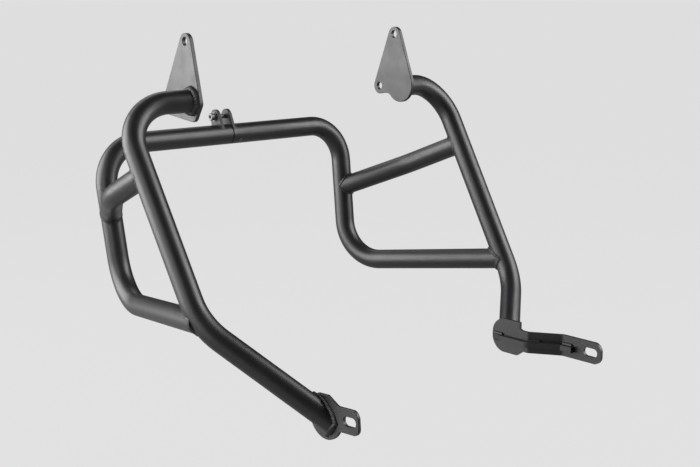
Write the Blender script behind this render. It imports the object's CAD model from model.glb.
import math
import bmesh
import bpy
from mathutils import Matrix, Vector
from mathutils.bvhtree import BVHTree


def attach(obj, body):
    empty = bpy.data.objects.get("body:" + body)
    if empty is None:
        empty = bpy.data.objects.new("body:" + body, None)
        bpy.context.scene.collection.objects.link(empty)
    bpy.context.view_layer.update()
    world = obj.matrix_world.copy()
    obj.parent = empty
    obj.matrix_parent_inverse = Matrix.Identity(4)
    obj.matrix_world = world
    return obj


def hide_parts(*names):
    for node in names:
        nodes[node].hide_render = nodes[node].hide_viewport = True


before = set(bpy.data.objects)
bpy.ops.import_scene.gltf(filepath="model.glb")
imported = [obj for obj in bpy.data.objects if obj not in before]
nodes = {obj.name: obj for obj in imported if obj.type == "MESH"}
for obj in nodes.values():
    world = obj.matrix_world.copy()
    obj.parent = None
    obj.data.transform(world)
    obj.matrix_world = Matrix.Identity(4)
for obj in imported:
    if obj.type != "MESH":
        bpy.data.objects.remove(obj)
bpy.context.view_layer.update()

scene = bpy.context.scene
scene.view_settings.view_transform = "Standard"

# Picture levels, and the floor in metres
SKY = 0.738
WORLD_FILL = 0.02
PAPER = 0.776
PAPER_SHARE = 0.94
FLOOR_GREY = 0.3
FLOOR_Z = -0.64
FLOOR_SIZE = 40.0

# Layout of the guard, in millimetres with the hoop upright, before it leans forward into place.
# Each point has its distance out from the middle, its y and its z. -1 is the left side, 1 the right.
LEAN = math.radians(8.7)
SIDES = {-1: "left", 1: "right"}
CORNER = (254, 17.4, -68)
KNEE = {-1: (245.6, -85.8, -316), 1: (245.4, -96.4, -340)}
LEG_TOP = (197, 172, -110)
LEG_FOOT = (188, 172, -309.5)
UPPER_SEAT = (168.5, 0, -69.5)
LOWER_SEAT = {-1: (158, -175.5, -426.5), 1: (180, -143, -404)}
HOOP_DROP = 244.8

# Height of each brace's rear end, the point of its bend, and the height of its front end
BRACE = {-1: (-148.6, (247.4, 68.7, -171.5), -196.5),
         1: (-154.1, (237, 75, -177), -202.2)}

# Sizes in metres
TUBE_R = 0.0135
TUBE_WALL = 0.002
BRACE_BEND = 0.095
BRACE_OUTSET = 0.0008
COPE_RUN = 0.026
SKIN_LIFT = 0.00005
RAY_BACK = 0.045
BEND_STEPS = 12
TUBE_SIDES = 96
BEAD_SIDES = 288

# Thread of the screw, M6 with a 1 mm pitch
PITCH = 0.001
THREAD_START = -0.006
THREAD_TURNS = 12
THREAD_STEPS = 48
THREAD_ROOT = 0.00296
THREAD_FLANK = 0.00304
THREAD_RISE = 0.00022


def add_node(tree, kind, **values):
    node = tree.new(kind)
    for key, value in values.items():
        setattr(node, key, value)
    return node


def new_material(name):
    mat = bpy.data.materials.new(name)
    mat.use_nodes = True
    mat.node_tree.nodes.clear()
    return mat, mat.node_tree.nodes, mat.node_tree.links


def new_metal(name):
    """Material with a principled shader and the object's own coordinates."""
    mat, tree, links = new_material(name)
    out = add_node(tree, "ShaderNodeOutputMaterial")
    skin = add_node(tree, "ShaderNodeBsdfPrincipled")
    links.new(skin.outputs[0], out.inputs[0])
    return mat, tree, links, skin, add_node(tree, "ShaderNodeTexCoord")


def add_noise(tree, links, place, scale, detail=2.0):
    noise = add_node(tree, "ShaderNodeTexNoise")
    noise.inputs["Scale"].default_value = scale
    noise.inputs["Detail"].default_value = detail
    links.new(place.outputs["Object"], noise.inputs["Vector"])
    return noise


def add_roughness(tree, links, noise, skin, rough_low, rough_high, noise_low=0.0, noise_high=1.0):
    rough = add_node(tree, "ShaderNodeMapRange")
    rough.inputs["From Min"].default_value = noise_low
    rough.inputs["From Max"].default_value = noise_high
    rough.inputs["To Min"].default_value = rough_low
    rough.inputs["To Max"].default_value = rough_high
    links.new(noise.outputs[0], rough.inputs["Value"])
    links.new(rough.outputs[0], skin.inputs["Roughness"])


def add_tint(tree, links, noise, skin, low, dark, high, pale):
    tint = add_node(tree, "ShaderNodeValToRGB")
    tint.color_ramp.elements[0].position = low
    tint.color_ramp.elements[0].color = [*dark, 1.0]
    tint.color_ramp.elements[1].position = high
    tint.color_ramp.elements[1].color = [*pale, 1.0]
    links.new(noise.outputs[0], tint.inputs[0])
    links.new(tint.outputs[0], skin.inputs["Base Color"])


def add_grain(tree, links, noise, skin, strength, distance):
    grain = add_node(tree, "ShaderNodeBump")
    grain.inputs["Strength"].default_value = strength
    grain.inputs["Distance"].default_value = distance
    links.new(noise.outputs[0], grain.inputs["Height"])
    links.new(grain.outputs[0], skin.inputs["Normal"])


def powder_coat(name, colour, rough_low, rough_high, peel):
    """Satin powder coat: orange peel in the normal, cloudy roughness, faint dust in the colour."""
    mat, tree, links, skin, place = new_metal(name)
    cloud = add_noise(tree, links, place, 42.0, 4.0)
    add_roughness(tree, links, cloud, skin, rough_low, rough_high, 0.3, 0.7)
    speck = add_noise(tree, links, place, 900.0)
    add_tint(tree, links, speck, skin, 0.35, [c * 0.78 for c in colour], 0.72, [c * 1.25 for c in colour])
    add_grain(tree, links, speck, skin, peel, 0.00012)
    return mat


def plated_steel(name, colour, rough_low, rough_high, streak):
    """Plated or drawn steel with a fine grain and a faint change of tint."""
    mat, tree, links, skin, place = new_metal(name)
    skin.inputs["Metallic"].default_value = 1.0
    cloud = add_noise(tree, links, place, 220.0, 5.0)
    dark = (colour[0] * 0.86, colour[1] * 0.85, colour[2] * 0.8)
    add_tint(tree, links, cloud, skin, 0.3, dark, 0.7, colour)
    add_roughness(tree, links, cloud, skin, rough_low, rough_high)
    add_grain(tree, links, add_noise(tree, links, place, 2600.0), skin, streak, 0.0001)
    return mat


tube_coat = powder_coat("satin_black", (0.010, 0.010, 0.0115), 0.37, 0.45, 0.025)
plate_coat = powder_coat("satin_black_plate", (0.013, 0.013, 0.0145), 0.42, 0.52, 0.1)
weld_coat = powder_coat("satin_black_weld", (0.007, 0.007, 0.008), 0.50, 0.62, 0.1)
zinc = plated_steel("zinc", (0.19, 0.19, 0.195), 0.52, 0.66, 0.15)
plug_coat = powder_coat("satin_black_plug", (0.05, 0.05, 0.053), 0.24, 0.34, 0.05)
ear_coat = powder_coat("satin_black_ear", (0.011, 0.011, 0.012), 0.50, 0.62, 0.3)
rib_coat = powder_coat("satin_black_rib", (0.008, 0.008, 0.009), 0.46, 0.58, 0.1)
drawn = plated_steel("drawn_steel", (0.42, 0.42, 0.42), 0.35, 0.5, 0.3)

for name, obj in nodes.items():
    if name.startswith("clamp_"):
        coat = zinc
    elif name == "joint_sleeve":
        coat = drawn
    elif name == "sleeve_plug_weld":
        coat = plug_coat
    elif name.endswith("_ear"):
        coat = ear_coat
    elif name == "right_bracket_rib":
        coat = rib_coat
    elif name.endswith(("_weld", "_welds")):
        coat = weld_coat
    elif "plate" in name or "bracket" in name:
        coat = plate_coat
    else:
        coat = tube_coat
    obj.data.materials.clear()
    obj.data.materials.append(coat)


def at(side, point):
    """Where a point of the layout lies on one side of the part, in metres."""
    x, y, z = side * point[0], point[1], point[2]
    return Vector((x, y * math.cos(LEAN) + z * math.sin(LEAN), z * math.cos(LEAN) - y * math.sin(LEAN))) * 0.001


def skin_of(name):
    mesh = nodes[name].data
    place = nodes[name].matrix_world
    return BVHTree.FromPolygons([place @ v.co for v in mesh.vertices], [list(p.vertices) for p in mesh.polygons])


def ring_frame(way):
    """Two directions square to a tube's axis."""
    first = way.cross(Vector((0, 0, 1)) if abs(way.z) < 0.9 else Vector((0, 1, 0))).normalized()
    return first, way.cross(first).normalized()


def landings(host, end, way, radials, radius, reach=0.016):
    """For each line along a tube's skin: its run to the host, the host's normal there, and whether they meet."""
    found = []
    for radial in radials:
        hit, normal, _, run = host.ray_cast(end - way * RAY_BACK + radial * radius, way, RAY_BACK + reach)
        found.append(None if hit is None else (run - RAY_BACK, normal if normal.dot(way) < 0 else -normal, True))
    deepest = max(f[0] for f in found if f)
    return [f or (deepest, radials[i], False) for i, f in enumerate(found)]


def closed_grid(name, rows, coat, node, smooth=60, wrap=True):
    """A piece from rows of points, joined round both ways, or capped at its first and last row."""
    count, span = len(rows), len(rows[0])
    points = [p for row in rows for p in row]
    faces = []
    for i in range(count if wrap else count - 1):
        for j in range(span):
            a, b = i * span + j, i * span + (j + 1) % span
            c, d = (i + 1) % count * span + (j + 1) % span, (i + 1) % count * span + j
            faces.append((a, b, c, d))
    if not wrap:
        faces += [tuple(range(span))[::-1], tuple(range((count - 1) * span, count * span))]
    mesh = bpy.data.meshes.new(name)
    mesh.from_pydata(points, [], faces)
    bm = bmesh.new()
    bm.from_mesh(mesh)
    bmesh.ops.recalc_face_normals(bm, faces=bm.faces)
    for edge in bm.edges:
        edge.smooth = edge.calc_face_angle(0.0) < math.radians(smooth)
    for face in bm.faces:
        face.smooth = True
    bm.to_mesh(mesh)
    bm.free()
    mesh.materials.append(coat)
    piece = bpy.data.objects.new(name, mesh)
    scene.collection.objects.link(piece)
    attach(piece, "root")
    if node:
        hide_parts(node)
    return piece


def brace(side, rear_z, kink, front_z):
    """Bent brace tube with both ends coped to the round of the tubes that they meet."""
    word = SIDES[side]
    rear = at(side, CORNER).lerp(at(side, KNEE[side]), (rear_z - CORNER[2]) / (KNEE[side][2] - CORNER[2]))
    rear += Vector((side * BRACE_OUTSET, 0, 0))
    front = at(side, LEG_TOP).lerp(at(side, LEG_FOOT), (front_z - LEG_TOP[2]) / (LEG_FOOT[2] - LEG_TOP[2]))
    kink = at(side, kink)
    go, leave = (kink - rear).normalized(), (front - kink).normalized()
    turn = go.angle(leave)
    flat = go.cross(leave).normalized()
    pivot = kink - go * (BRACE_BEND * math.tan(turn / 2)) + flat.cross(go) * BRACE_BEND
    angles = [2 * math.pi * i / TUBE_SIDES for i in range(TUBE_SIDES)]
    stations = [(rear + go * COPE_RUN, go)]
    for i in range(BEND_STEPS + 1):
        part = turn * i / BEND_STEPS
        way = go * math.cos(part) + flat.cross(go) * math.sin(part)
        stations.append((pivot - flat.cross(way) * BRACE_BEND, way))
    stations.append((front - leave * COPE_RUN, leave))

    def radials(way):
        across = flat.cross(way)
        return [across * math.cos(a) + flat * math.sin(a) for a in angles]

    def cope(host, end, way, lines, radius):
        """The tube's last ring, each point on the host's skin."""
        found = landings(skin_of(host), end, way, lines, radius)
        return [end + way * (f[0] - SKIN_LIFT) + line * radius for f, line in zip(found, lines)]

    rows = []
    for radius in (TUBE_R, TUBE_R - TUBE_WALL):
        start = cope(word + "_main_tube", rear, -go, radials(go), radius)
        stop = cope(word + "_hoop_tube", front, leave, radials(leave), radius)
        skin = [start] + [[c + r * radius for r in radials(way)] for c, way in stations] + [stop]
        rows += skin if radius == TUBE_R else skin[::-1]
    closed_grid(word + "_brace", rows, tube_coat, word + "_brace_tube", 40)
    return rear, -go, front, leave


def fillet(name, node, host, end, way, leg=0.0042, toe=0.0040, crown=0.0007, bulge=0.0009, lumps=1.0,
           tube_end=None, reach=0.016, coat=weld_coat, seed=0.0):
    """Welded fillet round a tube's end, rippled along the seam, from the tube's skin to the host's.

    leg and toe are its reach along the tube and along the host, crown is its rise, and bulge is what it rises
    more where the two skins lie level. tube_end is where the tube's skin ends, if that is short of the host.
    """
    u, v = ring_frame(way)
    angles = [2 * math.pi * i / BEAD_SIDES for i in range(BEAD_SIDES)]
    radials = [u * math.cos(a) + v * math.sin(a) for a in angles]
    skin = skin_of(host)
    found = landings(skin, end, way, radials, TUBE_R, reach)
    normals = [f[1] for f in found]
    for _ in range(6):
        normals = [(normals[i - 1] + normals[i] * 2 + normals[(i + 1) % BEAD_SIDES]).normalized()
                   for i in range(BEAD_SIDES)]
    rows = []
    for a, radial, normal, (depth, _, meets) in zip(angles, radials, normals, found):
        wave = abs(math.sin(18 * a + 0.9 * math.sin(3 * a + seed))) ** 0.8
        drift = 0.35 * math.sin(5 * a + seed) + 0.3 * math.sin(11 * a + 2.1 * seed) + 0.2 * math.sin(23 * a + seed)
        back = leg + (0.00035 * drift + 0.00025 * wave) * lumps
        out = toe + (0.0003 * math.sin(7 * a + 1.3 * seed) + 0.0003 * wave) * lumps
        foot = end + way * depth + radial * TUBE_R
        spread = radial + way * 0.5
        spread = (spread - normal * spread.dot(normal)).normalized()
        lift = (radial + normal).normalized()
        rise = crown + bulge * max(0.0, radial.dot(normal)) + 0.00022 * wave * lumps
        start = foot - way * back + radial * SKIN_LIFT
        far = start - way * 0.0003
        if tube_end is not None and depth - back > tube_end - 0.0015:
            far = foot + way * (tube_end - 0.0015 - depth) + radial * SKIN_LIFT
        stop = foot + spread * out + normal * SKIN_LIFT
        if not meets:
            near, side_way, _, gap = skin.find_nearest(foot)
            if gap < 0.012:
                stop = near + side_way * SKIN_LIFT + spread * out * 0.3
        row = [far]
        for j in range(9):
            t = j / 8
            row.append(start.lerp(stop, t) + lift * rise * 4 * t * (1 - t))
        row.append(foot - lift * 0.0006)
        rows.append(row)
    closed_grid(name, rows, coat, node, 75)


ends = {side: brace(side, *BRACE[side]) for side in SIDES}
for side, word in SIDES.items():
    is_left = side < 0
    rear, go, front, leave = ends[side]
    fillet(word + "_brace_rear_bead", word + "_brace_rear_weld", word + "_main_tube", rear, go,
           leg=0.0015, toe=0.0020, crown=0.0003, bulge=-0.0002, lumps=0.5, coat=tube_coat, seed=1.0 + side)
    fillet(word + "_brace_front_bead", word + "_brace_front_weld", word + "_hoop_tube", front, leave,
           leg=0.0024, toe=0.0016, crown=0.0003, bulge=0.0002, coat=tube_coat, seed=2.5 + side)
    corner, knee = at(side, CORNER), at(side, KNEE[side])
    seat = corner.lerp(knee, HOOP_DROP / (CORNER[2] - KNEE[side][2]))
    fillet(word + "_hoop_bead", word + "_hoop_weld", word + "_main_tube",
           seat, (seat - at(side, LEG_FOOT)).normalized(), tube_end=-0.003, reach=0.035,
           leg=0.0030, toe=0.0026, crown=0.0004, bulge=0.0003,
           coat=tube_coat if is_left else weld_coat, seed=4.0 + side)
    top = at(side, UPPER_SEAT)
    fillet(word + "_upper_plate_bead", word + "_upper_plate_weld", word + "_upper_plate",
           top, (top - corner).normalized(), lumps=1.6 if is_left else 1.0, seed=5.5 + side)
    foot = at(side, LOWER_SEAT[side])
    fillet(word + "_lower_plate_bead", word + "_lower_plate_weld",
           "left_lower_plate" if is_left else "right_lower_bracket",
           foot, (foot - knee).normalized(), seed=7.0 + side)

# Thread on the screw's shank between the ears
shank = [nodes["clamp_bolt"].matrix_world @ v.co for v in nodes["clamp_bolt"].data.vertices]
mid_y = (min(p.y for p in shank) + max(p.y for p in shank)) / 2
mid_z = (min(p.z for p in shank) + max(p.z for p in shank)) / 2
thread = []
last = THREAD_TURNS * THREAD_STEPS
for i in range(last + 1):
    turn = 2 * math.pi * i / THREAD_STEPS
    x = THREAD_START + PITCH * i / THREAD_STEPS
    crest = THREAD_FLANK + THREAD_RISE * min(1.0, i / 24, (last - i) / 24)
    thread.append([Vector((x + dx, mid_y + r * math.cos(turn), mid_z + r * math.sin(turn))) for dx, r in
                   ((-0.00040, THREAD_ROOT), (-0.00008, crest), (0.00008, crest), (0.00040, THREAD_ROOT))])
closed_grid("clamp_bolt_thread", thread, zinc, None, 30, wrap=False)

# Floor: pale to the eye, greyer to the light that it sends back
floor_mesh = bpy.data.meshes.new("floor")
bm = bmesh.new()
bmesh.ops.create_grid(bm, x_segments=2, y_segments=2, size=FLOOR_SIZE)
bm.to_mesh(floor_mesh)
bm.free()
floor = bpy.data.objects.new("floor", floor_mesh)
floor.location.z = FLOOR_Z
scene.collection.objects.link(floor)
paper, tree, links = new_material("pale_floor")
out = add_node(tree, "ShaderNodeOutputMaterial")
mix = add_node(tree, "ShaderNodeMixShader")
matt = add_node(tree, "ShaderNodeBsdfDiffuse")
matt.inputs["Color"].default_value = (FLOOR_GREY, FLOOR_GREY, FLOOR_GREY, 1.0)
glow = add_node(tree, "ShaderNodeEmission")
glow.inputs["Color"].default_value = (PAPER, PAPER, PAPER, 1.0)
ray = add_node(tree, "ShaderNodeLightPath")
seen = add_node(tree, "ShaderNodeMath", operation="MULTIPLY")
seen.inputs[1].default_value = PAPER_SHARE
links.new(ray.outputs["Is Camera Ray"], seen.inputs[0])
links.new(seen.outputs[0], mix.inputs[0])
links.new(matt.outputs[0], mix.inputs[1])
links.new(glow.outputs[0], mix.inputs[2])
links.new(mix.outputs[0], out.inputs[0])
floor_mesh.materials.append(paper)

# World: pale to the eye, dim on the object
world = bpy.data.worlds.new("studio")
scene.world = world
world.use_nodes = True
tree, links = world.node_tree.nodes, world.node_tree.links
tree.clear()
out = add_node(tree, "ShaderNodeOutputWorld")
sky = add_node(tree, "ShaderNodeBackground")
level = add_node(tree, "ShaderNodeMapRange")
level.inputs["To Min"].default_value = WORLD_FILL
level.inputs["To Max"].default_value = SKY
sky.inputs["Color"].default_value = (1.0, 1.0, 1.0, 1.0)
ray = add_node(tree, "ShaderNodeLightPath")
links.new(ray.outputs["Is Camera Ray"], level.inputs["Value"])
links.new(level.outputs[0], sky.inputs["Strength"])
links.new(sky.outputs[0], out.inputs[0])

# Softboxes: name, place, aim, width, height and watts
for name, place, aim, width, height, watts in (
        ("left_box", (-1.5, 1.2, 0.28), (-0.1, 0.0, -0.1), 2.0, 1.8, 94),
        ("near_box", (-1.0, -0.2, -0.05), (-0.25, 0.0, -0.15), 0.45, 1.0, 3.5),
        ("right_box", (1.5, -1.35, 0.8), (0.0, 0.0, -0.2), 1.4, 1.9, 74),
        ("front_box", (0.2, 1.6, 1.3), (0.0, 0.0, -0.2), 2.0, 1.2, 12)):
    data = bpy.data.lights.new(name, "AREA")
    data.shape = "RECTANGLE"
    data.size = width
    data.size_y = height
    data.energy = watts
    lamp = bpy.data.objects.new(name, data)
    lamp.location = place
    lamp.rotation_euler = (Vector(aim) - Vector(place)).to_track_quat("-Z", "Y").to_euler()
    lamp.visible_camera = False
    scene.collection.objects.link(lamp)

# Camera at the photograph's viewing angle
cam = bpy.data.cameras.new("camera")
cam.lens = 63.57
cam.sensor_width = 36.0
cam.clip_start = 0.05
cam.clip_end = 150.0
eye = bpy.data.objects.new("camera", cam)
eye.location = (-0.9748, -1.2216, 0.0641)
eye.rotation_euler = Vector((0.6428, 0.7402, -0.1971)).to_track_quat("-Z", "Y").to_euler()
scene.collection.objects.link(eye)
scene.camera = eye
